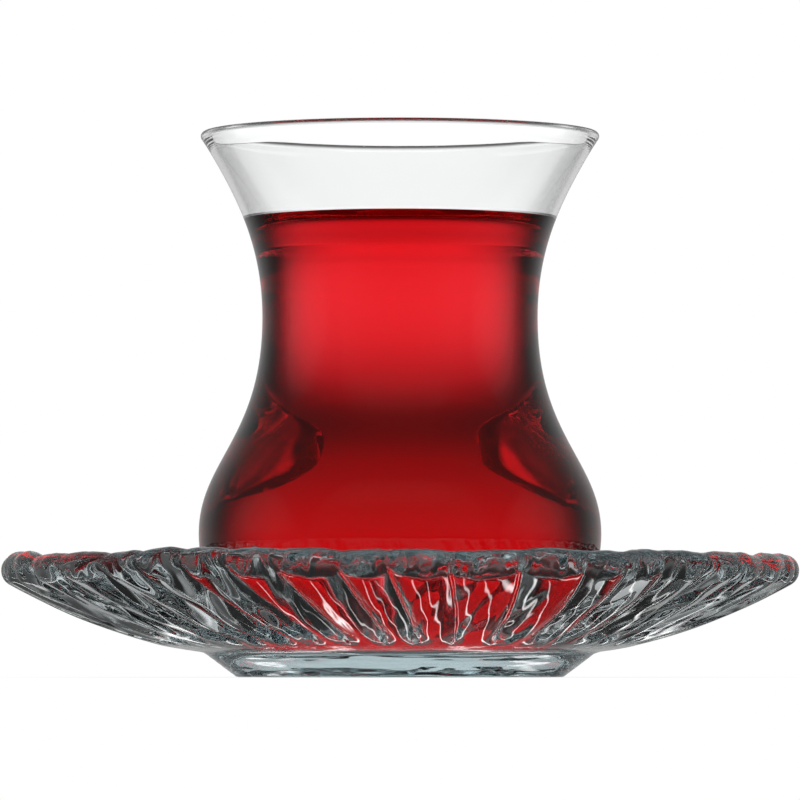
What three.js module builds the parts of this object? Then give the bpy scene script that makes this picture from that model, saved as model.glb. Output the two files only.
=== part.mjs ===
// A tulip-shaped tea glass, filled with black tea, on a round saucer of pressed glass.
// Units are millimetres and +Z is up. The origin is the centre of the saucer's foot, at table level.
import * as THREE from 'three';

// Driving dimensions of the saucer
const SAUCER_RADIUS = 60;
const FOOT_RADIUS = 24.4;
const FOOT_RING_WIDTH = 2.6;
const FOOT_RECESS = 2;
const FOOT_HEIGHT = 3.8;
const FOOT_SHOULDER_RADIUS = 29.7;
const FOOT_EDGE_ROUND = 1.05;
const FLOOR_RADIUS = 25;
const FLOOR_TOP = 5.5;
const RIM_ROUND = 2.4;
const RIM_CREST = 18.3;
const RIM_ARC = [-58, 125];

// How far each end of a saucer curve pulls it, outwards and upwards
const UNDERSIDE_FOOT_PULL = [8.75, 0.83];
const UNDERSIDE_RIM_PULL = [8.07, 4.6];
const DISH_RIM_PULL = [8, 5.6];
const DISH_FLOOR_PULL = 9;

// The pressed lobes under the saucer, which turn a little on their way from the foot to the rim
const LOBES = 44;
const LOBE_DEPTH = 1.5;
const LOBE_START_RADIUS = 35;
const LOBE_FULL_RADIUS = 39.5;
const LOBE_SWIRL = THREE.MathUtils.degToRad(6);
const LOBE_SHARPNESS = 2;
const SCALLOP_DEPTH = 0.3;
const SCALLOP_WIDTH = 6;
const LOBE_WAVER = [
  { turns: 5, size: 0.02, start: 1 },
  { turns: 11, size: 0.008, start: 2 },
];
const STEPS_PER_LOBE = 4;

// Driving dimensions of the glass. Heights are above the table.
const GAP = 0.3;
const GLASS_BOTTOM = FLOOR_TOP + GAP;
const BASE_RADIUS = 19;
const BASE_RING_WIDTH = 4;
const BASE_HOLLOW = 0.6;
const BULGE_RADIUS = 30.3;
const BULGE_HEIGHT = 21.6;
const WAIST_RADIUS = 20.75;
const WAIST_HEIGHT = 54.1;
const NECK_RADIUS = 29.15;
const NECK_HEIGHT = 79.9;
const LIP_RADIUS = 30.05;
const LIP_ROUND = 0.7;
const LIP_ARC = [-30, 170];
const GLASS_TOP = 82.2;
const WALL_AT_LIP = 0.95;
const WALL_AT_WAIST = 1.2;
const WALL_AT_BULGE = 1.6;
const INNER_FLOOR = 10.4;
const INNER_FLOOR_PULL = 20;

// How far each end of a glass curve pulls it. All but the base's and the lip's point straight up.
const BASE_PULL = [6.5, 0.8];
const UNDER_BULGE_PULL = 8;
const OVER_BULGE_PULL = 11;
const UNDER_WAIST_PULL = 18.2;
const OVER_WAIST_PULL = 10.1;
const LIP_PULL = [5.2, 8.6];
const GLASS_STEPS = 48;

// The tea's level, and how far it climbs the wall
const TEA_LEVEL = 68.1;
const MENISCUS_RISE = 1.2;
const MENISCUS_WIDTH = 2;
const MENISCUS_STEPS = [
  { width: 0.3, rise: 0.4 },
  { width: 1, rise: 0.05 },
];

const point = (radius, height) => new THREE.Vector2(radius, height);

const bezier = (...corners) => new THREE.CubicBezierCurve(...corners.map(([r, z]) => point(r, z)));

// Points along a curve, without its first one, so that stretches can be joined end to end
const along = (curve, count) => curve.getPoints(count).slice(1);

// An arc from one angle to another, in degrees, as points of a profile
function arc(centreRadius, centreHeight, round, from, to, count) {
  const points = [];
  for (let i = 0; i <= count; i += 1) {
    const angle = THREE.MathUtils.degToRad(THREE.MathUtils.lerp(from, to, i / count));
    points.push(point(centreRadius + round * Math.cos(angle), centreHeight + round * Math.sin(angle)));
  }
  return points;
}

// A profile turned about +Z. It runs from the axis below to the axis above, outer side first.
function turned(profile, steps) {
  const geometry = new THREE.LatheGeometry(profile, steps);
  geometry.rotateX(Math.PI / 2);
  return geometry;
}

// The saucer's profile as one closed stretch of points, smooth, at the lobes' crests
function saucerProfile() {
  const lipRadius = SAUCER_RADIUS - RIM_ROUND;
  const lipHeight = RIM_CREST - RIM_ROUND;
  const lip = arc(lipRadius, lipHeight, RIM_ROUND, ...RIM_ARC, 5);
  const [lipStart, lipEnd] = [lip[0], lip[lip.length - 1]];
  const underside = bezier(
    [FOOT_SHOULDER_RADIUS, FOOT_HEIGHT],
    [FOOT_SHOULDER_RADIUS + UNDERSIDE_FOOT_PULL[0], FOOT_HEIGHT + UNDERSIDE_FOOT_PULL[1]],
    [lipStart.x - UNDERSIDE_RIM_PULL[0], lipStart.y - UNDERSIDE_RIM_PULL[1]],
    [lipStart.x, lipStart.y],
  );
  const dish = bezier(
    [lipEnd.x, lipEnd.y],
    [lipEnd.x - DISH_RIM_PULL[0], lipEnd.y - DISH_RIM_PULL[1]],
    [FLOOR_RADIUS + DISH_FLOOR_PULL, FLOOR_TOP],
    [FLOOR_RADIUS, FLOOR_TOP],
  );
  return [
    point(0, FOOT_RECESS),
    point(FOOT_RADIUS - FOOT_RING_WIDTH - 1, FOOT_RECESS),
    point(FOOT_RADIUS - FOOT_RING_WIDTH, 0),
    point(FOOT_RADIUS, 0),
    point(FOOT_RADIUS + FOOT_EDGE_ROUND, 0.43 * FOOT_EDGE_ROUND),
    point(FOOT_SHOULDER_RADIUS - 0.86 * FOOT_EDGE_ROUND, FOOT_HEIGHT - 0.57 * FOOT_EDGE_ROUND),
    point(FOOT_SHOULDER_RADIUS, FOOT_HEIGHT),
    ...along(underside, 6),
    ...lip.slice(1),
    ...along(dish, 4),
    point(0, FLOOR_TOP),
  ];
}

// How deep the groove between two lobes is at a place on the profile
function grooveDepth(radius, height, isDish) {
  if (isDish) {
    const lipRadius = SAUCER_RADIUS - RIM_ROUND;
    const fade = THREE.MathUtils.smoothstep(radius, SAUCER_RADIUS - SCALLOP_WIDTH, lipRadius);
    return SCALLOP_DEPTH * fade;
  }
  const grown = THREE.MathUtils.smoothstep(radius, LOBE_START_RADIUS, LOBE_FULL_RADIUS);
  const nearRim = THREE.MathUtils.smoothstep(height, RIM_CREST - 4, RIM_CREST - 1);
  return grown * THREE.MathUtils.lerp(LOBE_DEPTH, SCALLOP_DEPTH, nearRim);
}

// Lobes differ a little in width, as pressed glass does
const waver = (angle) =>
  LOBE_WAVER.reduce((sum, { turns, size, start }) => sum + size * Math.sin(turns * angle + start), 0);

// The smooth turned saucer with grooves pushed into its underside, and its rim scalloped by them
function saucerGeometry() {
  const profile = saucerProfile();
  const steps = LOBES * STEPS_PER_LOBE;
  const geometry = turned(profile, steps);
  const places = geometry.attributes.position;
  const rimIndex = profile.findIndex((place) => place.y > RIM_CREST - 0.05);
  for (let i = 0; i < places.count; i += 1) {
    const row = i % profile.length;
    const { x: radius, y: height } = profile[row];
    const before = profile[Math.max(row - 1, 0)];
    const after = profile[Math.min(row + 1, profile.length - 1)];
    const slope = point(after.x - before.x, after.y - before.y).normalize();
    const step = Math.floor(i / profile.length) % steps;
    const across = Math.abs(2 * ((step / STEPS_PER_LOBE) % 1) - 1);
    const depth = grooveDepth(radius, height, row > rimIndex) * across ** LOBE_SHARPNESS;
    const swirl = THREE.MathUtils.clamp(
      (SAUCER_RADIUS - radius) / (SAUCER_RADIUS - LOBE_START_RADIUS),
      0,
      1,
    );
    const even = (step / steps) * 2 * Math.PI;
    const angle = even + waver(even) + (row > rimIndex ? 0 : swirl * LOBE_SWIRL);
    const pushed = radius - slope.y * depth;
    places.setXYZ(i, pushed * Math.cos(angle), pushed * Math.sin(angle), height + slope.x * depth);
  }
  return geometry;
}

// The three stretches of the glass's outer side, from its base to the lip
const belly = bezier(
  [BASE_RADIUS, GLASS_BOTTOM],
  [BASE_RADIUS + BASE_PULL[0], GLASS_BOTTOM + BASE_PULL[1]],
  [BULGE_RADIUS, BULGE_HEIGHT - UNDER_BULGE_PULL],
  [BULGE_RADIUS, BULGE_HEIGHT],
);
const shoulder = bezier(
  [BULGE_RADIUS, BULGE_HEIGHT],
  [BULGE_RADIUS, BULGE_HEIGHT + OVER_BULGE_PULL],
  [WAIST_RADIUS, WAIST_HEIGHT - UNDER_WAIST_PULL],
  [WAIST_RADIUS, WAIST_HEIGHT],
);
const neck = bezier(
  [WAIST_RADIUS, WAIST_HEIGHT],
  [WAIST_RADIUS, WAIST_HEIGHT + OVER_WAIST_PULL],
  [NECK_RADIUS - LIP_PULL[0], NECK_HEIGHT - LIP_PULL[1]],
  [NECK_RADIUS, NECK_HEIGHT],
);

// The wall's inner side beside a stretch of the outer side, as far in as the wall is thick
function innerSide(curve, wallAtStart, wallAtEnd, extra, count) {
  const points = [];
  for (let i = 0; i <= count; i += 1) {
    const t = i / count;
    const place = curve.getPoint(t);
    const way = curve.getTangent(t);
    const thick = THREE.MathUtils.lerp(wallAtStart, wallAtEnd, t) + extra;
    points.push(point(place.x - way.y * thick, place.y + way.x * thick));
  }
  return points;
}

// The inside of the glass from the axis at its floor up to the neck, or a skin inside it
function insideProfile(extra) {
  const neckSide = innerSide(neck, WALL_AT_WAIST, WALL_AT_LIP, extra, 6);
  const shoulderSide = innerSide(shoulder, WALL_AT_BULGE, WALL_AT_WAIST, extra, 7);
  const start = shoulderSide[0];
  const floor = bezier(
    [0, INNER_FLOOR + extra],
    [INNER_FLOOR_PULL, INNER_FLOOR + extra],
    [start.x, start.y - UNDER_BULGE_PULL],
    [start.x, start.y],
  );
  return [...floor.getPoints(5), ...shoulderSide.slice(1), ...neckSide.slice(1)];
}

function glassGeometry() {
  const outside = [
    point(0, GLASS_BOTTOM + BASE_HOLLOW),
    point(BASE_RADIUS - BASE_RING_WIDTH, GLASS_BOTTOM),
    ...belly.getPoints(5),
    ...along(shoulder, 7),
    ...along(neck, 6),
  ];
  const lip = arc(LIP_RADIUS - LIP_ROUND, GLASS_TOP - LIP_ROUND, LIP_ROUND, ...LIP_ARC, 4);
  return turned([...outside, ...lip, ...insideProfile(0).reverse()], GLASS_STEPS);
}

// The tea fills the glass to its level and climbs the wall in a thin edge
function teaGeometry() {
  const side = insideProfile(GAP);
  const top = TEA_LEVEL + MENISCUS_RISE;
  const above = side.findIndex((place) => place.y > top);
  const share = (top - side[above - 1].y) / (side[above].y - side[above - 1].y);
  const edge = side[above - 1].clone().lerp(side[above], share);
  const meniscus = MENISCUS_STEPS.map(({ width, rise }) =>
    point(edge.x - width * MENISCUS_WIDTH, TEA_LEVEL + rise * MENISCUS_RISE));
  return turned([...side.slice(0, above), edge, ...meniscus, point(0, TEA_LEVEL)], GLASS_STEPS);
}

function piece(name, geometry, material) {
  const mesh = new THREE.Mesh(geometry, new THREE.MeshStandardMaterial(material));
  mesh.name = name;
  return mesh;
}

const teaGlass = new THREE.Group();
teaGlass.add(
  piece('saucer', saucerGeometry(), { color: 0x8fa0a6, roughness: 0.05, metalness: 0 }),
  piece('glass', glassGeometry(), { color: 0xeef2f2, roughness: 0.03, metalness: 0 }),
  piece('tea', teaGeometry(), { color: 0xb01420, roughness: 0.02, metalness: 0 }),
);

export default teaGlass;
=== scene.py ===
"""A tulip-shaped glass of black tea on a saucer of pressed glass, dressed for its photograph.

Lengths of the shapes are millimetres, as a glassmaker's drawing has them, and heights are above the table.
Lengths in the finishes and in the studio are metres, as Blender counts them.
"""
import logging
import math
import random
from dataclasses import dataclass, field
from enum import Enum, IntEnum

import bmesh
import bpy
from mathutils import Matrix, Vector, noise


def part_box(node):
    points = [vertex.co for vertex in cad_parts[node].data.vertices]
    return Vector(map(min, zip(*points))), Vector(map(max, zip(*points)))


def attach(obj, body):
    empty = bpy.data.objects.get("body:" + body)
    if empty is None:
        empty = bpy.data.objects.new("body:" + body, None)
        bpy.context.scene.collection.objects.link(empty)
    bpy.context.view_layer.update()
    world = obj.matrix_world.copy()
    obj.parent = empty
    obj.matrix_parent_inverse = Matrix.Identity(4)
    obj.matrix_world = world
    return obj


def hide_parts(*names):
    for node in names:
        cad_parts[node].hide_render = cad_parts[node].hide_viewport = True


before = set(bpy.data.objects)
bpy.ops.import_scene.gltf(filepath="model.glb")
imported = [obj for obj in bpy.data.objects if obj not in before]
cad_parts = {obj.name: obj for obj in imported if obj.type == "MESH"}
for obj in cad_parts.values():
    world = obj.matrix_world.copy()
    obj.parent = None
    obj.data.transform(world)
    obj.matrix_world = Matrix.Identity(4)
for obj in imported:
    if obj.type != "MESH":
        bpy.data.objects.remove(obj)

LOG = logging.getLogger("tea_glass")
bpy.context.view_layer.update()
MM = 0.001
ROOT = "root"
WHITE = (1.0, 1.0, 1.0, 1.0)
# The photograph's side, in pixels.
PICTURE_SIDE = 800
# Two points of a profile nearer than this are one, in millimetres.
SAME_PLACE = 1e-4
# A point of a profile nearer to the axis than this is on it, in millimetres.
ON_AXIS = 1e-6
# Corners nearer than this become one when a body is closed, in metres.
MERGE_REACH = 1e-7

Pair = tuple[float, float]
Socket = bpy.types.NodeSocket


class Node(Enum):
    """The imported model's nodes that the pieces here stand for."""

    SAUCER = "saucer"
    GLASS = "glass"
    TEA = "tea"


class Slot(Enum):
    """The record's material slots."""

    SAUCER = "saucer_glass"
    GLASS = "clear_glass"
    TEA = "tea"


class Sum(Enum):
    """How a math node puts its values together."""

    ABSOLUTE = "ABSOLUTE"
    ADD = "ADD"
    MAXIMUM = "MAXIMUM"
    MULTIPLY = "MULTIPLY"


class GlassFace(IntEnum):
    """What a face of the tulip glass borders on, in the order of its materials."""

    CLEAR = 0
    WETTED = 1
    # Glass with tea behind it, whose finish has strong painted shade at its outline.
    OVER_TEA = 2


def height_of(node: Node) -> Pair:
    """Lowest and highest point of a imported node.

    Args:
        node: The node to measure.

    Returns:
        The two heights in millimetres.
    """
    low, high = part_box(node.value)
    return low[2] / MM, high[2] / MM


def smooth_step(value: float, start: float, end: float) -> float:
    """A soft ramp.

    Args:
        value: Where on the ramp to look.
        start: Where it leaves 0.
        end: Where it reaches 1.

    Returns:
        A number from 0 to 1.
    """
    t = min(max((value - start) / (end - start), 0.0), 1.0)
    return t * t * (3 - 2 * t)


@dataclass(frozen=True)
class Curve:
    """A cubic curve in the plane of a turned profile, through (radius, height) pairs."""

    start: Pair
    start_pull: Pair
    end_pull: Pair
    end: Pair

    def given(self) -> tuple[Vector, ...]:
        """The four points that the curve is given by, in order."""
        return tuple(Vector(p) for p in (self.start, self.start_pull, self.end_pull, self.end))

    def at(self, t: float) -> Vector:
        """A point of the curve.

        Args:
            t: The share of the way along it.

        Returns:
            The point as (radius, height).
        """
        a, b, c, d = self.given()
        u = 1 - t
        return a * u**3 + b * (3 * u * u * t) + c * (3 * u * t * t) + d * t**3

    def way(self, t: float) -> Vector:
        """The direction that the curve runs in.

        Args:
            t: The share of the way along it.

        Returns:
            The direction, one unit long.
        """
        a, b, c, d = self.given()
        u = 1 - t
        return ((b - a) * (u * u) + (c - b) * (2 * u * t) + (d - c) * (t * t)).normalized()

    def points(self, count: int, inward: Pair = (0.0, 0.0)) -> list[Vector]:
        """Points along the curve, moved to its left side.

        Args:
            count: How many steps the curve takes.
            inward: How far the first and the last point move to the left of the curve's way.

        Returns:
            count + 1 points.
        """
        made = []
        for i in range(count + 1):
            t = i / count
            way = self.way(t)
            depth = inward[0] + (inward[1] - inward[0]) * t
            made.append(self.at(t) + Vector((-way.y, way.x)) * depth)
        return made


def arc(centre: Pair, radius: float, start: float, end: float, count: int) -> list[Vector]:
    """Points on a round stretch of a profile.

    Args:
        centre: Its centre as (radius, height).
        radius: How round it is.
        start: The first angle in degrees, counted from straight outwards towards straight up.
        end: The last angle.
        count: How many steps it takes.

    Returns:
        count + 1 points.
    """
    made = []
    for i in range(count + 1):
        angle = math.radians(start + (end - start) * i / count)
        made.append(Vector((centre[0] + radius * math.cos(angle), centre[1] + radius * math.sin(angle))))
    return made


def joined(*stretches: list[Vector]) -> list[Vector]:
    """Stretches of a profile end to end, without the points that two of them share.

    Args:
        *stretches: Lists of points in order.

    Returns:
        One list of points.
    """
    made: list[Vector] = []
    for stretch in stretches:
        for place in stretch:
            if not made or (place - made[-1]).length > SAME_PLACE:
                made.append(place)
    return made


def spun(profile: list[Vector], steps: int, sectors: int = 8) -> bmesh.types.BMesh:
    """Turns a profile about the axis into a closed body: one sector, and then the rest as copies of it.

    Args:
        profile: Points from the axis below to the axis above, in millimetres.
        steps: How many steps a full turn takes.
        sectors: How many equal sectors it is made of. They divide the steps.

    Returns:
        The body in metres, with each vertex's row of the profile in an integer layer named row.
    """
    bm = bmesh.new()
    row = bm.verts.layers.int.new("row")
    verts = []
    for i, place in enumerate(profile):
        vert = bm.verts.new((place.x * MM, 0, place.y * MM))
        vert[row] = i
        verts.append(vert)
    edges = [bm.edges.new(pair) for pair in zip(verts, verts[1:])]
    about_z = {"cent": (0, 0, 0), "axis": (0, 0, 1), "dvec": (0, 0, 0), "use_merge": False}
    turn = math.tau / sectors
    each = steps // sectors
    bmesh.ops.spin(bm, geom=verts + edges, angle=turn, steps=each, use_duplicate=False, **about_z)
    sector = bm.verts[:] + bm.edges[:] + bm.faces[:]
    rest = sectors - 1
    bmesh.ops.spin(bm, geom=sector, angle=turn * rest, steps=rest, use_duplicate=True, **about_z)
    bmesh.ops.remove_doubles(bm, verts=bm.verts, dist=MERGE_REACH)
    bmesh.ops.recalc_face_normals(bm, faces=bm.faces)
    return bm


def placed(bm: bmesh.types.BMesh, name: str) -> bpy.types.Object:
    """Puts a finished mesh into the scene.

    Args:
        bm: The mesh, which is freed.
        name: The object's name.

    Returns:
        The new object, which stands at the origin.
    """
    mesh = bpy.data.meshes.new(name)
    bm.to_mesh(mesh)
    bm.free()
    made = bpy.data.objects.new(name, mesh)
    bpy.context.scene.collection.objects.link(made)
    return made


def finished(bm: bmesh.types.BMesh, name: str, node: Node) -> bpy.types.Object:
    """Makes a piece of the object from a finished mesh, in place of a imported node.

    Args:
        bm: The mesh, which is freed.
        name: The piece's name.
        node: The node that it stands for.

    Returns:
        The new object, which stands at the origin.
    """
    for face in bm.faces:
        face.smooth = True
    piece = placed(bm, name)
    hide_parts(node.value)
    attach(piece, ROOT)
    return piece


@dataclass(frozen=True)
class Ramp:
    """A soft step between two values.

    Attributes:
        start: Where it leaves its first value.
        end: Where it reaches its last value.
        first: The value before the start.
        last: The value after the end.
    """

    start: float
    end: float
    first: float = 0.0
    last: float = 1.0

    def node(self, tree: bpy.types.NodeTree, value: Socket) -> bpy.types.Node:
        """Adds the step to a node tree.

        Args:
            tree: The tree.
            value: Where on the step to look.

        Returns:
            The new node.
        """
        made = tree.nodes.new("ShaderNodeMapRange")
        made.interpolation_type = "SMOOTHSTEP"
        made.inputs["From Min"].default_value = self.start
        made.inputs["From Max"].default_value = self.end
        made.inputs["To Min"].default_value = self.first
        made.inputs["To Max"].default_value = self.last
        tree.links.new(value, made.inputs["Value"])
        return made

    def value(self, tree: bpy.types.NodeTree, value: Socket) -> Socket:
        """Adds the step to a node tree.

        Args:
            tree: The tree.
            value: Where on the step to look.

        Returns:
            The step's outcome.
        """
        return self.node(tree, value).outputs["Result"]


def combined(tree: bpy.types.NodeTree, kind: Sum, *values: Socket) -> Socket:
    """Adds a sum, a product or the like to a node tree.

    Args:
        tree: The tree.
        kind: How the values are put together.
        *values: What goes in.

    Returns:
        The outcome.
    """
    made = tree.nodes.new("ShaderNodeMath")
    made.operation = kind.value
    for socket, value in zip(made.inputs, values):
        tree.links.new(value, socket)
    return made.outputs["Value"]


@dataclass(frozen=True)
class SurfaceFlow:
    """The faint unevenness of fire-polished glass, as a node group that every finish shares.

    Attributes:
        name: The group's name.
        scale: How fine it is, where a finish says nothing else.
        detail: How many finer layers it has.
        roughness: How strong those are.
        stretch: How its pattern is scaled along each axis.
        haze_scale: How many times finer the haze is.
        haze_detail: How many finer layers the haze has.
    """

    name: str = "surface_flow"
    scale: float = 80.0
    detail: float = 2.0
    roughness: float = 0.45
    stretch: tuple[float, float, float] = (1.0, 1.0, 0.45)
    haze_scale: float = 3.0
    haze_detail: float = 4.0

    def group(self) -> bpy.types.NodeTree:
        """Builds the group once.

        Returns:
            The group, with Scale and Haze Scale going in and Height and Haze coming out.
        """
        made = bpy.data.node_groups.get(self.name)
        if made is not None:
            return made
        made = bpy.data.node_groups.new(self.name, "ShaderNodeTree")
        for label, value in (("Scale", self.scale), ("Haze Scale", self.haze_scale)):
            socket = made.interface.new_socket(label, in_out="INPUT", socket_type="NodeSocketFloat")
            socket.default_value = value
        for label in ("Height", "Haze"):
            made.interface.new_socket(label, in_out="OUTPUT", socket_type="NodeSocketFloat")
        nodes, links = made.nodes, made.links
        given = nodes.new("NodeGroupInput")
        out = nodes.new("NodeGroupOutput")
        where = nodes.new("ShaderNodeTexCoord")
        stretched = nodes.new("ShaderNodeMapping")
        stretched.inputs["Scale"].default_value = self.stretch
        flow = nodes.new("ShaderNodeTexNoise")
        flow.inputs["Detail"].default_value = self.detail
        flow.inputs["Roughness"].default_value = self.roughness
        fine = nodes.new("ShaderNodeTexNoise")
        fine.inputs["Detail"].default_value = self.haze_detail
        denser = combined(made, Sum.MULTIPLY, given.outputs["Scale"], given.outputs["Haze Scale"])
        links.new(where.outputs["Object"], stretched.inputs["Vector"])
        links.new(stretched.outputs["Vector"], flow.inputs["Vector"])
        links.new(where.outputs["Object"], fine.inputs["Vector"])
        links.new(given.outputs["Scale"], flow.inputs["Scale"])
        links.new(denser, fine.inputs["Scale"])
        links.new(flow.outputs["Fac"], out.inputs["Height"])
        links.new(fine.outputs["Fac"], out.inputs["Haze"])
        return made


@dataclass(frozen=True)
class Streaks:
    """A ring of fine streaks that run outwards from the axis and break up what is seen through them.

    Attributes:
        round_scale: How finely they follow each other round the axis, for each radian.
        length: How long they are, in metres.
        height: How high they stand, in metres.
        middle: The ring's radius, in metres.
        width: How far it reaches to either side, in metres.
        full_share: The share of the width over which they stand at their full height.
    """

    round_scale: float
    length: float
    height: float
    middle: float
    width: float
    full_share: float = 0.4

    def pattern(self, tree: bpy.types.NodeTree, flat: Socket, radius: Socket) -> Socket:
        """The streaks' heights, without the ring's limits.

        Args:
            tree: The material's node tree.
            flat: The place in the plane of the table.
            radius: Its distance from the axis.

        Returns:
            A number from 0 to 1.
        """
        nodes, links = tree.nodes, tree.links
        around = nodes.new("ShaderNodeVectorMath")
        around.operation = "NORMALIZE"
        wide = nodes.new("ShaderNodeVectorMath")
        wide.operation = "SCALE"
        wide.inputs["Scale"].default_value = self.round_scale
        long = nodes.new("ShaderNodeMath")
        long.operation = "DIVIDE"
        long.inputs[1].default_value = self.length
        outwards = nodes.new("ShaderNodeCombineXYZ")
        place = nodes.new("ShaderNodeVectorMath")
        place.operation = "ADD"
        cells = nodes.new("ShaderNodeTexNoise")
        cells.inputs["Scale"].default_value = 1.0
        cells.inputs["Detail"].default_value = 0.0
        links.new(flat, around.inputs[0])
        links.new(around.outputs["Vector"], wide.inputs[0])
        links.new(radius, long.inputs[0])
        links.new(long.outputs["Value"], outwards.inputs["Z"])
        links.new(wide.outputs["Vector"], place.inputs[0])
        links.new(outwards.outputs["Vector"], place.inputs[1])
        links.new(place.outputs["Vector"], cells.inputs["Vector"])
        return cells.outputs["Fac"]

    def on(self, made: bpy.types.Material, normal: Socket) -> Socket:
        """Adds the streaks to a material.

        Args:
            made: The material.
            normal: The surface's direction so far.

        Returns:
            The uneven direction.
        """
        tree = made.node_tree
        nodes, links = tree.nodes, tree.links
        where = nodes.new("ShaderNodeTexCoord")
        flat = nodes.new("ShaderNodeVectorMath")
        flat.operation = "MULTIPLY"
        flat.inputs[1].default_value = (1.0, 1.0, 0.0)
        radius = nodes.new("ShaderNodeVectorMath")
        radius.operation = "LENGTH"
        beyond = nodes.new("ShaderNodeMath")
        beyond.operation = "SUBTRACT"
        beyond.inputs[1].default_value = self.middle
        bump = nodes.new("ShaderNodeBump")
        bump.inputs["Distance"].default_value = self.height
        links.new(where.outputs["Object"], flat.inputs[0])
        links.new(flat.outputs["Vector"], radius.inputs[0])
        links.new(radius.outputs["Value"], beyond.inputs[0])
        away = combined(tree, Sum.ABSOLUTE, beyond.outputs["Value"])
        ring = Ramp(self.width * self.full_share, self.width, 1.0, 0.0)
        links.new(ring.value(tree, away), bump.inputs["Strength"])
        pattern = self.pattern(tree, flat.outputs["Vector"], radius.outputs["Value"])
        links.new(pattern, bump.inputs["Height"])
        links.new(normal, bump.inputs["Normal"])
        return bump.outputs["Normal"]


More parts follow.
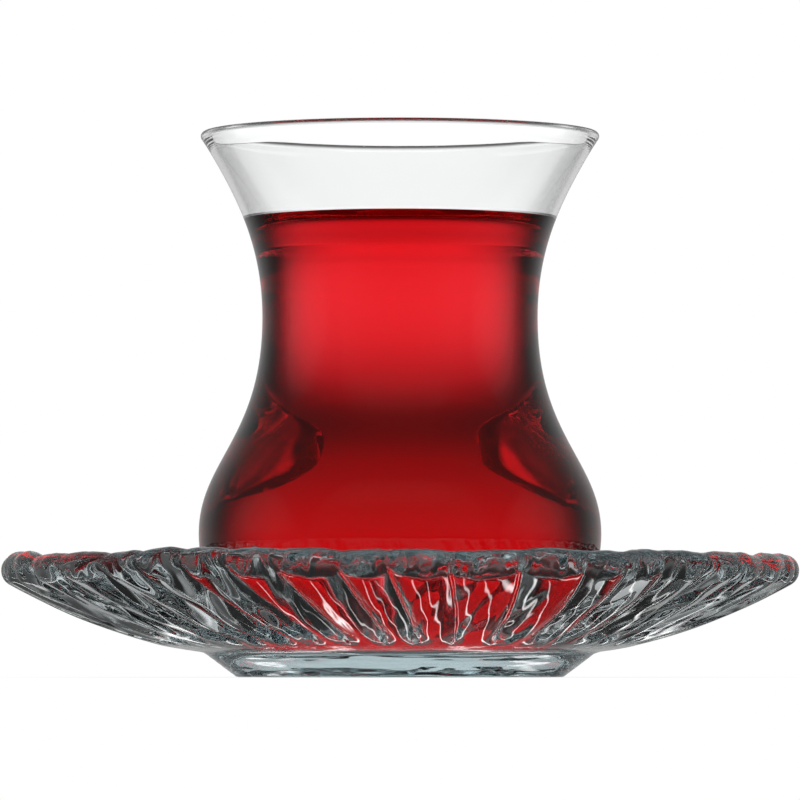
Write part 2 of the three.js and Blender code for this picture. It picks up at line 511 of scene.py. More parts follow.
@dataclass(frozen=True)
class ClearFinish:
    """A clear solid or liquid: glass, wetted glass or tea.

    Attributes:
        name: The material's name.
        ior: How strongly it bends light.
        tint: The colour of its surface.
        haze: Its least and greatest roughness.
        flow_scale: How fine its unevenness is.
        flow_height: How high the unevenness stands, in metres.
        reflection: How much it mirrors, as a share. A wetted face mirrors next to nothing.
        depth_colour: What light turns towards inside it.
        density: How soon, for each metre.
        painted_edge_shade: Painted shade: how much light it lets through as it turns away from the eye, as
            (turn, share) pairs.
        painted_height_shade: Painted shade: how much light it lets through by height, as (share of
            shade_height, share) pairs.
        streaks: Rings of fine streaks on it.
        shade_height: The height in metres that the painted shade by height runs over.
        tone_drift: How far its tint darkens where the unevenness is high.
        haze_range: Where in its pattern the haze begins and is full.
    """

    name: str
    ior: float
    tint: tuple[float, float, float]
    haze: Pair
    flow_scale: float
    flow_height: float
    reflection: float = 1.0
    depth_colour: tuple[float, float, float] = (1.0, 1.0, 1.0)
    density: float = 0.0
    painted_edge_shade: tuple[Pair, ...] = ((0.0, 1.0), (1.0, 1.0))
    painted_height_shade: tuple[Pair, ...] = ()
    streaks: tuple[Streaks, ...] = ()
    shade_height: float = 0.1
    tone_drift: float = 0.985
    haze_range: Pair = (0.35, 0.75)

    def material(self) -> bpy.types.Material:
        """Builds the material.

        Returns:
            The new material.
        """
        made = bpy.data.materials.new(self.name)
        made.use_nodes = True
        nodes, links = made.node_tree.nodes, made.node_tree.links
        nodes.clear()
        out = nodes.new("ShaderNodeOutputMaterial")
        body = nodes.new("ShaderNodeBsdfPrincipled")
        body.inputs["Transmission Weight"].default_value = 1.0
        body.inputs["IOR"].default_value = self.ior
        body.inputs["Specular Tint"].default_value = (self.reflection, self.reflection, self.reflection, 1.0)
        flow = nodes.new("ShaderNodeGroup")
        flow.node_tree = SurfaceFlow().group()
        flow.inputs["Scale"].default_value = self.flow_scale
        haze = nodes.new("ShaderNodeMapRange")
        haze.inputs["From Min"].default_value = self.haze_range[0]
        haze.inputs["From Max"].default_value = self.haze_range[1]
        haze.inputs["To Min"].default_value = self.haze[0]
        haze.inputs["To Max"].default_value = self.haze[1]
        bump = nodes.new("ShaderNodeBump")
        bump.inputs["Distance"].default_value = self.flow_height
        links.new(self.colour(made, flow.outputs["Height"]), body.inputs["Base Color"])
        links.new(flow.outputs["Haze"], haze.inputs["Value"])
        links.new(haze.outputs["Result"], body.inputs["Roughness"])
        links.new(flow.outputs["Height"], bump.inputs["Height"])
        normal = bump.outputs["Normal"]
        for ring in self.streaks:
            normal = ring.on(made, normal)
        links.new(normal, body.inputs["Normal"])
        links.new(body.outputs["BSDF"], out.inputs["Surface"])
        if self.density:
            depth = nodes.new("ShaderNodeVolumeAbsorption")
            depth.inputs["Color"].default_value = (*self.depth_colour, 1.0)
            depth.inputs["Density"].default_value = self.density
            links.new(depth.outputs["Volume"], out.inputs["Volume"])
        return made

    def colour(self, made: bpy.types.Material, flow: Socket) -> Socket:
        """The tint with its drift, and painted shade at the edges and by height.

        Args:
            made: The material to add the nodes to.
            flow: The unevenness that the drift follows.

        Returns:
            The surface's colour.
        """
        nodes, links = made.node_tree.nodes, made.node_tree.links
        tone = nodes.new("ShaderNodeMix")
        tone.data_type = "RGBA"
        tone.inputs["A"].default_value = (*self.tint, 1.0)
        tone.inputs["B"].default_value = (*(self.tone_drift * c for c in self.tint), 1.0)
        # Painted shade: the colour darkens as the face turns away from the eye.
        turned = nodes.new("ShaderNodeLayerWeight")
        links.new(flow, tone.inputs["Factor"])
        colour = self.shaded(made, tone.outputs["Result"], turned.outputs["Facing"], self.painted_edge_shade)
        if not self.painted_height_shade:
            return colour
        # Painted shade: the colour darkens or lightens by height.
        where = nodes.new("ShaderNodeTexCoord")
        apart = nodes.new("ShaderNodeSeparateXYZ")
        tall = nodes.new("ShaderNodeMapRange")
        tall.inputs["From Max"].default_value = self.shade_height
        links.new(where.outputs["Object"], apart.inputs["Vector"])
        links.new(apart.outputs["Z"], tall.inputs["Value"])
        return self.shaded(made, colour, tall.outputs["Result"], self.painted_height_shade)

    def shaded(
        self,
        made: bpy.types.Material,
        colour: Socket,
        place: Socket,
        stops: tuple[Pair, ...],
    ) -> Socket:
        """Paints shade into a colour along a ramp.

        A face lets through the root of its colour, so the ramp holds the square of each share.

        Args:
            made: The material to add the nodes to.
            colour: The colour to darken.
            place: Where on the ramp to look.
            stops: The ramp's stops, as (place, share of light let through) pairs.

        Returns:
            The darkened colour.
        """
        nodes, links = made.node_tree.nodes, made.node_tree.links
        ramp = nodes.new("ShaderNodeValToRGB")
        ramp.color_ramp.interpolation = "B_SPLINE"
        elements = ramp.color_ramp.elements
        while len(elements) < len(stops):
            elements.new(0.5)
        for element, (position, share) in zip(elements, stops):
            element.position = position
            element.color = (share**2, share**2, share**2, 1.0)
        both = nodes.new("ShaderNodeMix")
        both.data_type = "RGBA"
        both.blend_type = "MULTIPLY"
        both.inputs["Factor"].default_value = 1.0
        links.new(place, ramp.inputs["Fac"])
        links.new(colour, both.inputs["A"])
        links.new(ramp.outputs["Color"], both.inputs["B"])
        return both.outputs["Result"]


SAUCER_FINISH = ClearFinish(
    name="pressed_glass",
    ior=1.5,
    tint=(0.97, 0.985, 0.985),
    haze=(0.0, 0.002),
    flow_scale=160.0,
    flow_height=0.00001,
    depth_colour=(0.1, 0.36, 0.42),
    density=14.0,
    # Painted shade: the clear glass darkens where its faces turn half away from the eye, and in a band from
    # about 6 to 17 mm up, fullest from 7.5 to 15 mm.
    painted_edge_shade=((0.0, 1.0), (0.45, 1.0), (0.75, 0.7), (0.9, 0.9), (1.0, 1.0)),
    painted_height_shade=((0.0, 1.0), (0.055, 1.0), (0.075, 0.66), (0.15, 0.66), (0.175, 1.0), (1.0, 1.0)),
    streaks=(Streaks(round_scale=26.0, length=0.009, height=0.00032, middle=0.048, width=0.012),),
)
GLASS_FINISH = ClearFinish(
    name="clear_glass",
    ior=1.5,
    tint=(0.98, 0.985, 0.985),
    haze=(0.0, 0.01),
    flow_scale=60.0,
    flow_height=0.00003,
    # Painted shade: the clear glass darkens towards its outline.
    painted_edge_shade=((0.0, 1.0), (0.5, 1.0), (0.8, 0.82), (1.0, 0.75)),
)
OVER_TEA_FINISH = ClearFinish(
    name="glass_over_tea",
    ior=1.5,
    tint=(0.98, 0.985, 0.985),
    haze=(0.0, 0.01),
    flow_scale=60.0,
    flow_height=0.00003,
    reflection=0.55,
    # Painted shade: the glass over the tea darkens strongly towards its outline, which paints the tea's dark
    # edges.
    painted_edge_shade=((0.0, 1.0), (0.25, 0.98), (0.42, 0.6), (0.56, 0.25), (0.7, 0.12), (0.85, 0.25), (1.0, 0.3)),
)
WETTED_FINISH = ClearFinish(
    name="wetted_glass",
    ior=1.5,
    tint=(1.0, 1.0, 1.0),
    haze=(0.0, 0.005),
    flow_scale=60.0,
    flow_height=0.00002,
    reflection=0.02,
)
TEA_FINISH = ClearFinish(
    name="black_tea",
    ior=1.333,
    tint=(1.0, 0.99, 0.99),
    haze=(0.0, 0.01),
    flow_scale=70.0,
    flow_height=0.00002,
    reflection=0.05,
    depth_colour=(0.95, 0.0, 0.09),
    density=110.0,
    # Painted shade: the tea is darker low in its bulb, from 14 mm up and fullest at 20 mm, lighter upwards,
    # and darker again from 65.5 mm to its surface.
    painted_height_shade=(
        (0.0, 1.0),
        (0.14, 1.0),
        (0.2, 0.72),
        (0.36, 0.79),
        (0.47, 0.93),
        (0.58, 0.98),
        (0.645, 1.0),
        (0.655, 0.86),
        (1.0, 0.86),
    ),
)


@dataclass(frozen=True)
class Wave:
    """A slow wave round the saucer, by which its lobes stray from even spacing.

    Attributes:
        turns: How many times it comes round the saucer.
        size: How far it moves a lobe, in radians.
        start: Where it starts, in radians.
    """

    turns: int
    size: float
    start: float


@dataclass
class Saucer:
    """The round saucer: a foot ring, lobes pressed into its underside, and a scalloped rim.

    A pull is how far a curve's inner point stands off its end, as (radius, height). An arc is given by its
    first and last angle in degrees. Rows are the steps that a stretch of the profile takes.

    Attributes:
        shoulder_cut: Where the foot's side ends below the shoulder, as shares of the edge's roundness.
        shoulder_share: The share of the underside that the round shoulder takes.
        lobe_start: The radius at which the lobes rise from the smooth underside.
        lobe_full: The radius from which they have their full depth.
        lobe_swirl: How far they turn from the foot to the rim, in degrees.
        lobe_spread: How far a lobe strays sideways, as a share of its width.
        depth_spread: How far its depth strays, as a share of it.
        uneven_under: How deep the shallow unevenness of the underside is.
        uneven_dish: How deep the dish's is.
        uneven_radius: The radius at which it is as wide as uneven_width says.
        uneven_width: How wide it is, across the flutes.
        uneven_length: How long it is, along them.
        uneven_margin: How far inside the lobes it begins.
        finer_scale: How many times finer its second layer is.
        finer_share: How strong that layer is beside the first.
        dish_phase: What tells the dish's unevenness from the underside's.
        foot_streak: How deep the streaks round the foot are.
        foot_streak_scale: How fine they are, round the foot and upwards.
        foot_streak_end: The radii at which they begin to fade and are gone.
        foot_streak_margin: How far inside the foot's edge they begin.
        rim_wave: How far the rim goes up and down in a slow wave.
        rim_wave_reach: How far below the crest the wave begins.
        rim_phase: Which stretch of the pattern the wave is.
        seed: What the draws of chance start from.
    """

    radius: float = 60.0
    foot_radius: float = 24.4
    foot_ring_width: float = 2.6
    foot_edge_round: float = 1.05
    foot_edge_inset: float = 0.2
    foot_edge_arc: Pair = (-90.0, -48.0)
    foot_recess: float = 2.0
    foot_height: float = 3.8
    recess_round: float = 0.6
    recess_shoulder: float = 1.6
    recess_arc: Pair = (90.0, 10.0)
    ring_inset: float = 0.1
    ring_arc: Pair = (190.0, 270.0)
    shoulder_radius: float = 29.7
    shoulder_cut: Pair = (0.86, 0.57)
    shoulder_pull: Pair = (0.5, 0.45)
    shoulder_share: float = 0.05
    underside_start_pull: Pair = (8.75, 0.83)
    underside_end_pull: Pair = (8.07, 4.6)
    dish_start_pull: Pair = (8.0, 5.6)
    dish_end_pull: Pair = (9.0, 0.0)
    floor_radius: float = 25.0
    floor_top: float = 5.5
    rim_round: float = 2.4
    rim_arc: Pair = (-58.0, 125.0)
    cone_rows: int = 14
    under_rows: int = 40
    dish_rows: int = 44
    rim_rows: int = 14
    floor_rows: int = 5
    round_rows: int = 4
    lobes: int = 44
    lobe_depth: float = 1.5
    lobe_start: float = 35.0
    lobe_full: float = 39.5
    lobe_swirl: float = 6.0
    lobe_sharpness: float = 2.0
    lobe_spread: float = 0.15
    depth_spread: float = 0.3
    scallop_depth: float = 0.3
    scallop_width: float = 6.0
    scallop_below_crest: Pair = (4.0, 0.6)
    steps_per_lobe: int = 16
    waver: tuple[Wave, ...] = (Wave(5, 0.02, 1.0), Wave(11, 0.008, 2.0))
    uneven_under: float = 0.17
    uneven_dish: float = 0.3
    uneven_radius: float = 45.0
    uneven_width: float = 2.3
    uneven_length: float = 14.0
    uneven_margin: float = 4.0
    finer_scale: float = 2.1
    finer_share: float = 0.4
    dish_phase: float = 20.0
    foot_streak: float = 0.035
    foot_streak_scale: Pair = (6.0, 4.5)
    foot_streak_end: Pair = (31.0, 33.0)
    foot_streak_margin: float = 4.0
    rim_wave: float = 0.8
    rim_wave_scale: float = 4.0
    rim_wave_reach: float = 7.0
    rim_phase: float = 16.65
    seed: int = 7
    crest: float = field(default_factory=lambda: height_of(Node.SAUCER)[1])

    def foot(self) -> list[Vector]:
        """The recess, the ring that stands on the table and its outer edge.

        Returns:
            Points from the axis outwards.
        """
        inner = self.foot_radius - self.foot_ring_width
        below = self.foot_recess
        small = self.recess_round
        edge = self.foot_edge_round
        rows = self.round_rows
        return [
            Vector((0, below)),
            Vector((inner / 2, below)),
            *arc((inner - self.recess_shoulder, below - small), small, *self.recess_arc, rows),
            *arc((inner + self.ring_inset, small), small, *self.ring_arc, rows),
            *arc((self.foot_radius - self.foot_edge_inset, edge), edge, *self.foot_edge_arc, rows),
        ]

    def profile(self) -> tuple[list[Vector], int]:
        """The saucer's outline at the crests of its lobes.

        Returns:
            Its points from the axis below to the axis above, and the number of the rim's highest point.
        """
        lip_centre = (self.radius - self.rim_round, self.crest - self.rim_round)
        lip = arc(lip_centre, self.rim_round, *self.rim_arc, self.rim_rows)
        shoulder = Vector((self.shoulder_radius, self.foot_height))
        floor_edge = Vector((self.floor_radius, self.floor_top))
        underside = Curve(
            tuple(shoulder),
            tuple(shoulder + Vector(self.underside_start_pull)),
            tuple(lip[0] - Vector(self.underside_end_pull)),
            tuple(lip[0]),
        )
        dish = Curve(
            tuple(lip[-1]),
            tuple(lip[-1] - Vector(self.dish_start_pull)),
            tuple(floor_edge + Vector(self.dish_end_pull)),
            tuple(floor_edge),
        )
        foot = self.foot()
        side_end = shoulder - Vector(self.shoulder_cut) * self.foot_edge_round
        cone = [foot[-1].lerp(side_end, i / self.cone_rows) for i in range(self.cone_rows + 1)]
        first = self.shoulder_share
        fillet = Curve(
            tuple(side_end),
            tuple(side_end + Vector(self.shoulder_pull)),
            tuple(underside.at(0.0)),
            tuple(underside.at(first)),
        )
        rows = self.under_rows
        under = [underside.at(first + (1 - first) * i / rows) for i in range(rows + 1)]
        rows = self.floor_rows
        floor = [Vector((self.floor_radius * (1 - i / rows), self.floor_top)) for i in range(rows + 1)]
        rounded = fillet.points(self.round_rows)
        points = joined(foot, cone, rounded, under, lip, dish.points(self.dish_rows), floor)
        top = max(range(len(points)), key=lambda i: points[i].y)
        return points, top

    def groove(self, place: Vector, in_dish: bool) -> float:
        """How deep the groove between two lobes is at a place on the profile.

        Args:
            place: The place as (radius, height).
            in_dish: Whether it lies on the upper side.

        Returns:
            The depth in millimetres.
        """
        if in_dish:
            lip_radius = self.radius - self.rim_round
            return self.scallop_depth * smooth_step(place.x, self.radius - self.scallop_width, lip_radius)
        grown = smooth_step(place.x, self.lobe_start, self.lobe_full)
        begins, ends = self.scallop_below_crest
        near_rim = smooth_step(place.y, self.crest - begins, self.crest - ends)
        return grown * (self.lobe_depth + (self.scallop_depth - self.lobe_depth) * near_rim)

    def unevenness(self, place: Vector, around: Vector, in_dish: bool) -> float:
        """The shallow unevenness along the flutes.

        Args:
            place: The place on the profile as (radius, height).
            around: Its direction from the axis.
            in_dish: Whether it lies on the upper side.

        Returns:
            The depth in millimetres.
        """
        grown = smooth_step(place.x, self.lobe_start - self.uneven_margin, self.lobe_full)
        spread = self.uneven_radius / self.uneven_width
        spot = around * spread + Vector((0, 0, place.x / self.uneven_length))
        side = Vector((0, 0, self.dish_phase)) if in_dish else Vector((0, 0, 0))
        size = self.uneven_dish if in_dish else self.uneven_under
        finer = noise.noise(spot * self.finer_scale + side)
        return size * grown * (noise.noise(spot + side) + self.finer_share * finer)

    def foot_streaks(self, place: Vector, around: Vector) -> float:
        """The faint streaks round the foot.

        Args:
            place: The place on the profile as (radius, height).
            around: Its direction from the axis.

        Returns:
            The depth in millimetres.
        """
        begins = smooth_step(place.x, self.foot_radius - self.foot_streak_margin, self.foot_radius)
        ends = 1 - smooth_step(place.x, *self.foot_streak_end)
        across, up = self.foot_streak_scale
        return self.foot_streak * begins * ends * noise.noise(around * across + Vector((0, 0, place.y * up)))

    def lift(self, place: Vector, around: Vector) -> float:
        """How far the rim's slow wave lifts a place.

        Args:
            place: The place on the profile as (radius, height).
            around: Its direction from the axis.

        Returns:
            The lift in millimetres.
        """
        near_rim = smooth_step(place.y, self.crest - self.rim_wave_reach, self.crest)
        spot = around * self.rim_wave_scale + Vector((0, 0, self.rim_phase))
        return self.rim_wave * near_rim * noise.noise(spot)

    def swirl(self, place: Vector) -> float:
        """How far the lobes have turned at a place on the underside.

        Args:
            place: The place on the profile as (radius, height).

        Returns:
            The angle in radians.
        """
        inward = (self.radius - place.x) / (self.radius - self.lobe_start)
        return math.radians(self.lobe_swirl) * min(max(inward, 0.0), 1.0)

    def mesh(self) -> bmesh.types.BMesh:
        """The turned saucer with its lobes pressed in.

        Returns:
            The mesh in metres.
        """
        points, top = self.profile()
        bm = spun(points, self.lobes * self.steps_per_lobe)
        chance = random.Random(self.seed)
        shift = [chance.uniform(-self.lobe_spread, self.lobe_spread) for _ in range(self.lobes)]
        deeper = [1 + chance.uniform(-self.depth_spread, self.depth_spread) for _ in range(self.lobes)]
        row = bm.verts.layers.int["row"]
        last = len(points) - 1
        for vert in bm.verts:
            i = vert[row]
            place = points[i]
            if place.x < ON_AXIS:
                continue
            in_dish = i > top
            way = (points[min(i + 1, last)] - points[max(i - 1, 0)]).normalized()
            even = math.atan2(vert.co.y, vert.co.x) % math.tau
            around = Vector((math.cos(even), math.sin(even), 0))
            share = even / math.tau * self.lobes
            part = share % 1
            lobe = int(share) % self.lobes
            ahead = (lobe + 1) % self.lobes
            nearest = lobe if part < 0.5 else ahead
            across = abs(2 * part - 1) ** self.lobe_sharpness
            depth = self.groove(place, in_dish) * deeper[nearest] * across
            angle = even + sum(wave.size * math.sin(wave.turns * even + wave.start) for wave in self.waver)
            angle += (shift[lobe] * (1 - part) + shift[ahead] * part) * math.tau / self.lobes
            if not in_dish:
                depth += self.foot_streaks(place, around)
                angle += self.swirl(place)
            depth += self.unevenness(place, around, in_dish)
            radius = place.x - way.y * depth
            height = place.y + way.x * depth + self.lift(place, around)
            vert.co = (radius * math.cos(angle) * MM, radius * math.sin(angle) * MM, height * MM)
        return bm

    def build(self) -> bpy.types.Object:
        """Makes the saucer and dresses it.

        Returns:
            The piece.
        """
        piece = finished(self.mesh(), "saucer_pressed_glass", Node.SAUCER)
        piece.data.materials.append(SAUCER_FINISH.material())
        return piece


@dataclass
class TulipGlass:
    """The narrow-waisted glass. Its inside is the outside moved in by the wall.

    A pull is how far a curve's inner point stands off its end. Rows are the steps that a stretch of the
    profile takes.

    Attributes:
        hidden_below: The height under which the saucer hides the glass, so that it needs no painted dark
            edges.
        wetted_above: How far above its underside the wetted inside begins.
    """

    base_radius: float = 19.0
    base_ring_width: float = 4.0
    base_hollow: float = 0.6
    base_pull: Pair = (6.5, 0.8)
    hollow_pull: float = 7.0
    hollow_ring_pull: float = 3.0
    bulge_radius: float = 30.3
    bulge_height: float = 21.6
    bulge_pull_down: float = 8.0
    bulge_pull_up: float = 11.0
    waist_radius: float = 20.75
    waist_height: float = 54.1
    waist_pull_down: float = 18.2
    waist_pull_up: float = 10.1
    neck_radius: float = 29.15
    neck_height: float = 79.9
    neck_pull: Pair = (5.2, 8.6)
    lip_radius: float = 30.05
    lip_round: float = 0.7
    lip_arc: Pair = (-30.0, 170.0)
    wall_at_lip: float = 0.95
    wall_at_waist: float = 1.2
    wall_at_bulge: float = 1.6
    inner_floor: float = 10.4
    floor_pull: float = 20.0
    floor_margin: float = 1.0
    hidden_below: float = 16.5
    wetted_above: float = 0.9
    hollow_rows: int = 8
    belly_rows: int = 24
    shoulder_rows: int = 34
    neck_rows: int = 28
    lip_rows: int = 12
    floor_rows: int = 22
    steps: int = 192
    bottom: float = field(default_factory=lambda: height_of(Node.GLASS)[0])
    top: float = field(default_factory=lambda: height_of(Node.GLASS)[1])

    def hollow(self) -> Curve:
        """The underside from the axis to the ring it stands on.

        Returns:
            The curve.
        """
        ring = self.base_radius - self.base_ring_width
        return Curve(
            (0.0, self.bottom + self.base_hollow),
            (self.hollow_pull, self.bottom + self.base_hollow),
            (ring - self.hollow_ring_pull, self.bottom),
            (ring, self.bottom),
        )

    def belly(self) -> Curve:
        """The outer side from the base to the bulge.

        Returns:
            The curve.
        """
        return Curve(
            (self.base_radius, self.bottom),
            (self.base_radius + self.base_pull[0], self.bottom + self.base_pull[1]),
            (self.bulge_radius, self.bulge_height - self.bulge_pull_down),
            (self.bulge_radius, self.bulge_height),
        )

    def shoulder(self) -> Curve:
        """The outer side from the bulge to the waist.

        Returns:
            The curve.
        """
        return Curve(
            (self.bulge_radius, self.bulge_height),
            (self.bulge_radius, self.bulge_height + self.bulge_pull_up),
            (self.waist_radius, self.waist_height - self.waist_pull_down),
            (self.waist_radius, self.waist_height),
        )

    def neck(self) -> Curve:
        """The outer side from the waist to the lip.

        Returns:
            The curve.
        """
        return Curve(
            (self.waist_radius, self.waist_height),
            (self.waist_radius, self.waist_height + self.waist_pull_up),
            (self.neck_radius - self.neck_pull[0], self.neck_height - self.neck_pull[1]),
            (self.neck_radius, self.neck_height),
        )

    def inside(self, skin: float = 0.0) -> list[Vector]:
        """The inside from the middle of its floor up to the neck.

        Args:
            skin: How far the line is moved away from the wall. A negative one reaches into the wall.

        Returns:
            Its points, from the axis upwards.
        """
        bulge, waist, lip = (w + skin for w in (self.wall_at_bulge, self.wall_at_waist, self.wall_at_lip))
        shoulder = self.shoulder().points(self.shoulder_rows, (bulge, waist))
        neck = self.neck().points(self.neck_rows, (waist, lip))
        start = shoulder[0]
        floor = Curve(
            (0.0, self.inner_floor + skin),
            (self.floor_pull, self.inner_floor + skin),
            (start.x, start.y - self.bulge_pull_down),
            tuple(start),
        )
        return joined(floor.points(self.floor_rows), shoulder, neck)

    def mesh(self) -> bmesh.types.BMesh:
        """The turned glass.

        Returns:
            The mesh in metres.
        """
        lip_centre = (self.lip_radius - self.lip_round, self.top - self.lip_round)
        lip = arc(lip_centre, self.lip_round, *self.lip_arc, self.lip_rows)
        outside = joined(
            self.hollow().points(self.hollow_rows),
            self.belly().points(self.belly_rows),
            self.shoulder().points(self.shoulder_rows),
            self.neck().points(self.neck_rows),
        )
        return spun(joined(outside, lip, self.inside()[::-1]), self.steps)

    def borders_on(self, face: bpy.types.MeshPolygon, tea_edge: float) -> GlassFace:
        """Tells what a face borders on.

        Args:
            face: The face.
            tea_edge: The height that the tea reaches on the wall.

        Returns:
            Air, tea, or air with tea behind the wall.
        """
        centre, normal = face.center, face.normal
        if centre.z >= tea_edge * MM:
            return GlassFace.CLEAR
        inward = centre.x * normal.x + centre.y * normal.y < 0
        inner_floor = centre.z < (self.inner_floor + self.floor_margin) * MM and normal.z > 0
        if centre.z > (self.bottom + self.wetted_above) * MM and (inward or inner_floor):
            return GlassFace.WETTED
        if centre.z > self.hidden_below * MM:
            return GlassFace.OVER_TEA
        return GlassFace.CLEAR

    def build(self, tea_edge: float) -> bpy.types.Object:
        """Makes the glass and dresses it.

        Args:
            tea_edge: The height that the tea reaches on the wall, below which the inside is wetted.

        Returns:
            The piece.
        """
        piece = finished(self.mesh(), "tulip_glass", Node.GLASS)
        for finish in (GLASS_FINISH, WETTED_FINISH, OVER_TEA_FINISH):
            piece.data.materials.append(finish.material())
        for face in piece.data.polygons:
            face.material_index = self.borders_on(face, tea_edge)
        return piece


@dataclass
class Tea:
    """The tea, which fills the glass just into its wall and climbs it in a thin edge.

    Attributes:
        holder: The glass around it.
        level: The height of its surface in the middle.
        rise: How far it climbs the wall.
        edge_width: How far from the wall the climb is down to about a third.
        edge_reach: How far from the wall the finely stepped part of the surface goes.
        reach: How far it goes into the wall, so that no air gap shows.
    """

    holder: TulipGlass
    level: float = 68.1
    rise: float = 1.2
    edge_width: float = 1.5
    edge_reach: float = 12.0
    edge_rows: int = 24
    middle_rows: int = 4
    reach: float = 0.12
    steps: int = 192

    def edge(self) -> float:
        """The height at which the tea meets the wall.

        Returns:
            The height in millimetres.
        """
        return self.level + self.rise

    def mesh(self) -> bmesh.types.BMesh:
        """The body of tea.

        Returns:
            The mesh in metres.
        """
        side = self.holder.inside(-self.reach)
        above = next(i for i, place in enumerate(side) if place.y > self.edge())
        share = (self.edge() - side[above - 1].y) / (side[above].y - side[above - 1].y)
        meet = side[above - 1].lerp(side[above], share)
        surface = []
        for i in range(1, self.edge_rows + 1):
            away = self.edge_reach * (i / self.edge_rows) ** 2
            fall = self.rise * math.exp(-away / self.edge_width)
            surface.append(Vector((meet.x - self.reach - away, self.level + fall)))
        rows = self.middle_rows
        middle = [Vector((surface[-1].x * (1 - i / rows), self.level)) for i in range(1, rows + 1)]
        return spun(joined(side[:above], [meet], surface, middle), self.steps)

    def build(self) -> bpy.types.Object:
        """Makes the tea and dresses it.

        Returns:
            The piece.
        """
        piece = finished(self.mesh(), "black_tea", Node.TEA)
        piece.data.materials.append(TEA_FINISH.material())
        return piece


@dataclass
class PaleFloor:
    """The white floor, which only the camera sees, with a faint shade under the saucer.

    Attributes:
        half: Half its side, in metres.
        shade_reach: How far the shade goes, in metres.
        shade_least: How bright the floor is where the shade is full.
        shade_samples: How many rays each look at the shade takes.
    """

    half: float = 3.0
    shade_reach: float = 0.02
    shade_least: float = 0.88
    shade_samples: int = 16

    def material(self) -> bpy.types.Material:
        """The floor's own even light.

        Returns:
            The new material.
        """
        made = bpy.data.materials.new("studio_floor")
        made.use_nodes = True
        nodes, links = made.node_tree.nodes, made.node_tree.links
        nodes.clear()
        out = nodes.new("ShaderNodeOutputMaterial")
        near = nodes.new("ShaderNodeAmbientOcclusion")
        near.inputs["Distance"].default_value = self.shade_reach
        near.samples = self.shade_samples
        level = nodes.new("ShaderNodeMapRange")
        level.inputs["To Min"].default_value = self.shade_least
        seen = nodes.new("ShaderNodeEmission")
        links.new(near.outputs["AO"], level.inputs["Value"])
        links.new(level.outputs["Result"], seen.inputs["Strength"])
        links.new(seen.outputs["Emission"], out.inputs["Surface"])
        return made

    def build(self) -> bpy.types.Object:
        """Lays the floor.

        Returns:
            The floor.
        """
        bm = bmesh.new()
        bmesh.ops.create_grid(bm, x_segments=1, y_segments=1, size=self.half)
        floor = placed(bm, "studio_floor")
        floor.visible_diffuse = False
        floor.visible_glossy = False
        floor.visible_transmission = False
        floor.visible_shadow = False
        floor.data.materials.append(self.material())
        return floor


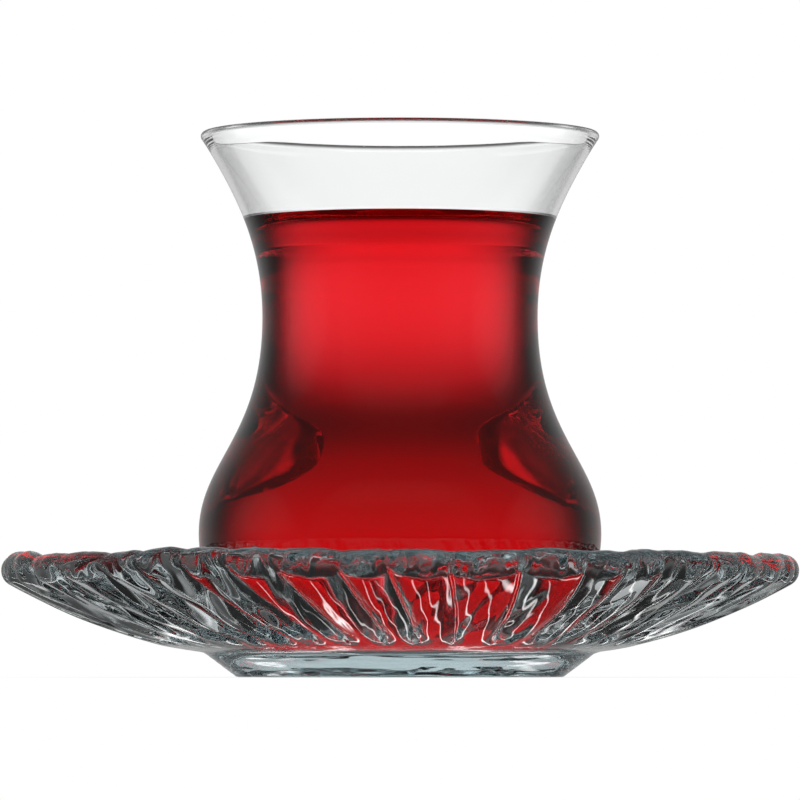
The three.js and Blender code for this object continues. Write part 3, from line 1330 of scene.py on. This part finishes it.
@dataclass
class SoftRoom:
    """The soft light all round, by direction: +Y is behind the glass, +Z is up.

    The eye itself sees plain white. Light that comes through glass has a bright wall behind, panels at the
    sides and in front, and a dim ceiling. Mirrored light is dimmer, with narrow lamps low behind that only
    faces looking down mirror.

    Attributes:
        ceiling: Dims what comes from overhead, by Z.
        lower_half: Goes from the lower half's light to the upper half's, by Z.
        high_band: Brightens a band below the ceiling, by Z.
        backdrop: The wall behind, by Y.
        side_panels: The panels at both sides, by the amount of X.
        front_panel: The panel in front, by Y.
        table_far: Goes from the table's light to that of its far part, its last value, by Y.
        table_band: Brightens the table where the way down to it isn't shallow, by Z.
        table_near: Brightens the table in front, by Y.
        table_steep: Dims the table again where the way down to it is steep, by Z.
        many_faces: Brightens what has crossed many faces, by their number.
        mirrored_backdrop: The wall behind as it is mirrored, by Y.
        mirrored_below: Dims the mirrored lower half, by Z.
        lamp_pitch: Half the distance between two lamps, along X.
        lamp_across: One lamp, by the distance from the middle between two of them.
        lamp_low: Keeps the lamps to the lower half, by Z.
        lamp_behind: Keeps them behind the glass, by Y.
    """

    ceiling: Ramp = Ramp(0.6, 0.8, 1.12, 0.05)
    lower_half: Ramp = Ramp(-0.44, 0.08)
    high_band: Ramp = Ramp(0.36, 0.5, 1.0, 2.2)
    backdrop: Ramp = Ramp(0.7, 0.96, 0.05, 1.0)
    side_panels: Ramp = Ramp(0.87, 0.95, 0.05, 1.6)
    front_panel: Ramp = Ramp(-0.7, -0.5, 1.0, 0.05)
    table_far: Ramp = Ramp(0.62, 0.8, last=0.15)
    table_band: Ramp = Ramp(-0.4, -0.33, 0.8, 0.05)
    table_near: Ramp = Ramp(-0.7, -0.5, 0.8, 0.0)
    table_steep: Ramp = Ramp(-0.6, -0.5, 0.05, 1.0)
    many_faces: Ramp = Ramp(6.5, 8.0, 1.0, 2.3)
    mirrored_backdrop: Ramp = Ramp(0.5, 0.95, 0.18, 0.4)
    mirrored_below: Ramp = Ramp(-0.5, -0.1, 0.1, 1.0)
    lamp_pitch: float = 0.13
    lamp_across: Ramp = Ramp(0.105, 0.13, 0.0, 4.5)
    lamp_low: Ramp = Ramp(-0.5, -0.35, 1.0, 0.0)
    lamp_behind: Ramp = Ramp(0.36, 0.5)

    def through_glass(self, tree: bpy.types.NodeTree, way: bpy.types.Node, faces: Socket) -> Socket:
        """The light that comes through glass and tea.

        Args:
            tree: The world's node tree.
            way: The node with the direction's X, Y and Z.
            faces: How many faces the light crosses.

        Returns:
            Its strength.
        """
        x, y, z = (way.outputs[axis] for axis in "XYZ")
        sides = self.side_panels.value(tree, combined(tree, Sum.ABSOLUTE, x))
        panels = combined(tree, Sum.MAXIMUM, self.backdrop.value(tree, y), sides)
        panels = combined(tree, Sum.MAXIMUM, panels, self.front_panel.value(tree, y))
        table = combined(tree, Sum.MAXIMUM, self.table_band.value(tree, z), self.table_near.value(tree, y))
        table = combined(tree, Sum.MULTIPLY, table, self.table_steep.value(tree, z))
        below = self.table_far.node(tree, y)
        tree.links.new(table, below.inputs["To Min"])
        level = self.lower_half.node(tree, z)
        tree.links.new(below.outputs["Result"], level.inputs["To Min"])
        tree.links.new(panels, level.inputs["To Max"])
        strength = combined(tree, Sum.MULTIPLY, self.ceiling.value(tree, z), level.outputs["Result"])
        strength = combined(tree, Sum.MULTIPLY, strength, self.high_band.value(tree, z))
        return combined(tree, Sum.MULTIPLY, strength, self.many_faces.value(tree, faces))

    def mirrored(self, tree: bpy.types.NodeTree, way: bpy.types.Node) -> Socket:
        """The light that outer faces mirror.

        Args:
            tree: The world's node tree.
            way: The node with the direction's X, Y and Z.

        Returns:
            Its strength.
        """
        x, y, z = (way.outputs[axis] for axis in "XYZ")
        below = self.mirrored_below.value(tree, z)
        shine = combined(tree, Sum.MULTIPLY, self.mirrored_backdrop.value(tree, y), below)
        repeated = tree.nodes.new("ShaderNodeMath")
        repeated.operation = "PINGPONG"
        repeated.inputs[1].default_value = self.lamp_pitch
        tree.links.new(x, repeated.inputs[0])
        lamps = self.lamp_across.value(tree, repeated.outputs["Value"])
        lamps = combined(tree, Sum.MULTIPLY, lamps, self.lamp_low.value(tree, z))
        lamps = combined(tree, Sum.MULTIPLY, lamps, self.lamp_behind.value(tree, y))
        return combined(tree, Sum.ADD, shine, lamps)

    def build(self) -> None:
        """Sets the light: white for the eye, and the two kinds of room for the rest."""
        world = bpy.data.worlds.new("studio")
        bpy.context.scene.world = world
        world.use_nodes = True
        tree = world.node_tree
        nodes, links = tree.nodes, tree.links
        nodes.clear()
        out = nodes.new("ShaderNodeOutputWorld")
        path = nodes.new("ShaderNodeLightPath")
        where = nodes.new("ShaderNodeTexCoord")
        way = nodes.new("ShaderNodeSeparateXYZ")
        links.new(where.outputs["Generated"], way.inputs["Vector"])
        white, soft, mirrored = (nodes.new("ShaderNodeBackground") for _ in range(3))
        for light in (white, soft, mirrored):
            light.inputs["Color"].default_value = WHITE
        faces = path.outputs["Transmission Depth"]
        links.new(self.through_glass(tree, way, faces), soft.inputs["Strength"])
        links.new(self.mirrored(tree, way), mirrored.inputs["Strength"])
        through = nodes.new("ShaderNodeMixShader")
        either = nodes.new("ShaderNodeMixShader")
        links.new(path.outputs["Is Transmission Ray"], through.inputs["Fac"])
        links.new(mirrored.outputs["Background"], through.inputs[1])
        links.new(soft.outputs["Background"], through.inputs[2])
        links.new(path.outputs["Is Camera Ray"], either.inputs["Fac"])
        links.new(through.outputs["Shader"], either.inputs[1])
        links.new(white.outputs["Background"], either.inputs[2])
        links.new(either.outputs["Shader"], out.inputs["Surface"])


@dataclass
class Viewpoint:
    """The camera of the photograph, low in front, looking a little upwards.

    Attributes:
        distance: How far in front of the axis it stands, in metres.
        height: How high above the table, in metres.
        focal_pixels: Its focal length, in pixels of the photograph.
        horizon_row: The photograph's row at the height of the camera.
        sensor: The width of its sensor, in millimetres.
        clip: The nearest and the farthest distance it sees, in metres.
    """

    distance: float = 1.094
    height: float = 0.00138
    focal_pixels: float = 7267.0
    horizon_row: float = 668.0
    sensor: float = 36.0
    clip: Pair = (0.05, 50.0)

    def build(self) -> None:
        """Sets the camera."""
        lens = bpy.data.cameras.new("camera")
        lens.sensor_width = self.sensor
        lens.lens = self.focal_pixels * self.sensor / PICTURE_SIDE
        lens.clip_start, lens.clip_end = self.clip
        camera = bpy.data.objects.new("camera", lens)
        camera.location = (0.0, -self.distance, self.height)
        tilt = math.atan((self.horizon_row - PICTURE_SIDE / 2) / self.focal_pixels)
        camera.rotation_euler = (math.pi / 2 + tilt, 0.0, 0.0)
        bpy.context.scene.collection.objects.link(camera)
        bpy.context.scene.camera = camera


@dataclass
class Film:
    """Plain colours, and enough bounces for light to cross glass and tea."""

    bounces: int = 32
    transmission_bounces: int = 28
    glossy_bounces: int = 16

    def build(self) -> None:
        """Sets the film."""
        scene = bpy.context.scene
        scene.view_settings.view_transform = "Standard"
        scene.cycles.max_bounces = self.bounces
        scene.cycles.transmission_bounces = self.transmission_bounces
        scene.cycles.glossy_bounces = self.glossy_bounces
        scene.cycles.use_denoising = True


@dataclass
class Studio:
    """A pale floor, soft light all round, and the camera of the photograph."""

    viewpoint: Viewpoint = field(default_factory=Viewpoint)
    floor: PaleFloor = field(default_factory=PaleFloor)
    room: SoftRoom = field(default_factory=SoftRoom)
    film: Film = field(default_factory=Film)

    def build(self) -> None:
        """Builds the whole studio."""
        self.viewpoint.build()
        self.floor.build()
        self.room.build()
        self.film.build()


def main() -> None:
    """Builds the studio and the three pieces in order."""
    logging.basicConfig(level=logging.INFO, format="%(name)s: %(message)s")
    Studio().build()
    LOG.info("studio set")
    saucer = Saucer().build()
    LOG.info("saucer: %d faces", len(saucer.data.polygons))
    glass = TulipGlass()
    tea = Tea(glass)
    glass_piece = glass.build(tea.edge())
    LOG.info("glass: %d faces", len(glass_piece.data.polygons))
    tea_piece = tea.build()
    LOG.info("tea: %d faces", len(tea_piece.data.polygons))


if __name__ == "__main__":
    main()
